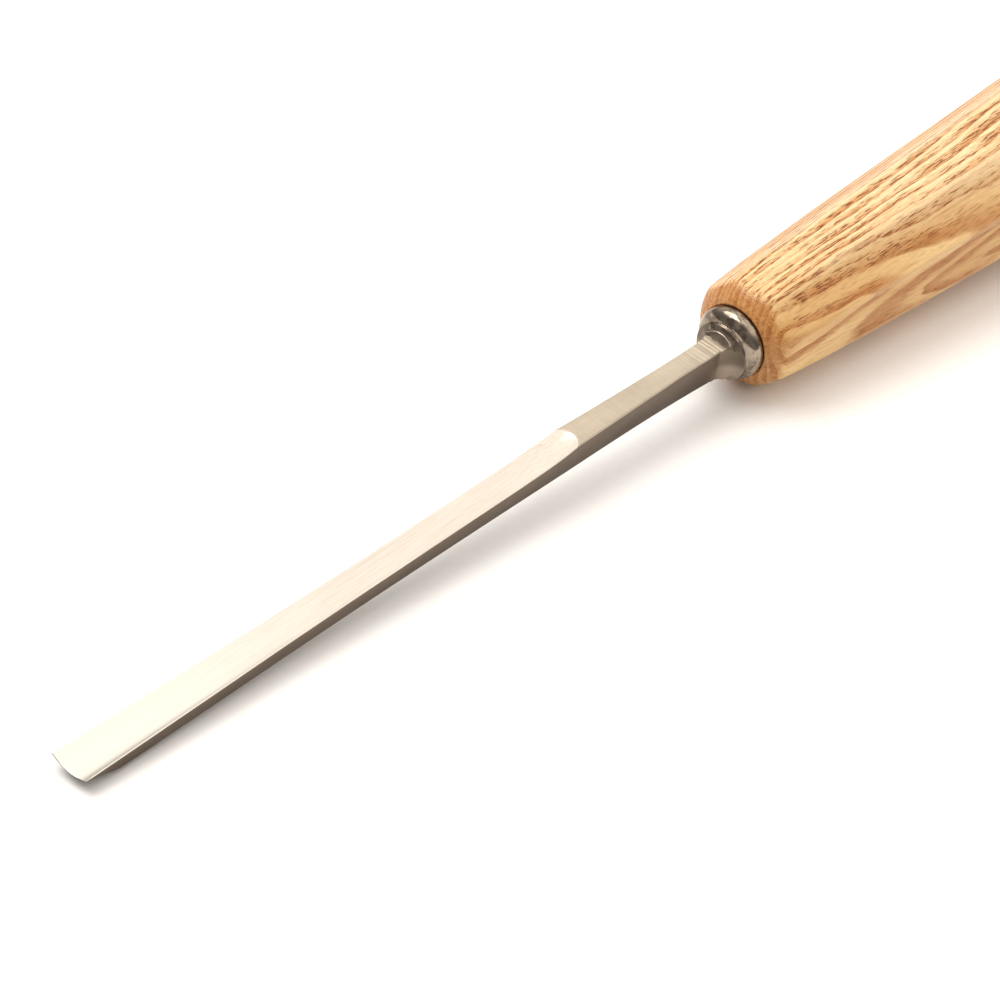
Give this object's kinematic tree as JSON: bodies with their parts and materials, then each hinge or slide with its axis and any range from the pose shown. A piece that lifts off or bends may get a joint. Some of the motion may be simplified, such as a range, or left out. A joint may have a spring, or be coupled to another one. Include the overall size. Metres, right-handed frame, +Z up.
{
  "type": "wood carving gouge",
  "caption": "Straight wood carving tool lying at rest: slim blade with a shallow curved edge, round bolster and an octagonal ash handle.",
  "frame": {"origin": "centre of the bounding box's bottom face, on the surface the tool lies on", "axes": "+X along the tool toward the cutting edge, +Z up from the surface it lies on, +Y across, toward one long side; the blade's hollow faces up"},
  "size_m": [0.2498, 0.0244, 0.0246],
  "materials": {
    "blade_steel": "ground and polished tool steel, brighter in the channel, fine cross-grinding on the shank",
    "ferrule_steel": "plain turned steel, hidden in the wood",
    "ash_wood": "pale ash with open brown grain, satin clear finish"
  },
  "bodies": {
    "root": {"blade_forging": "blade_steel", "ferrule_ring": "ferrule_steel", "handle_ash": "ash_wood"}
  },
  "joints": []
}
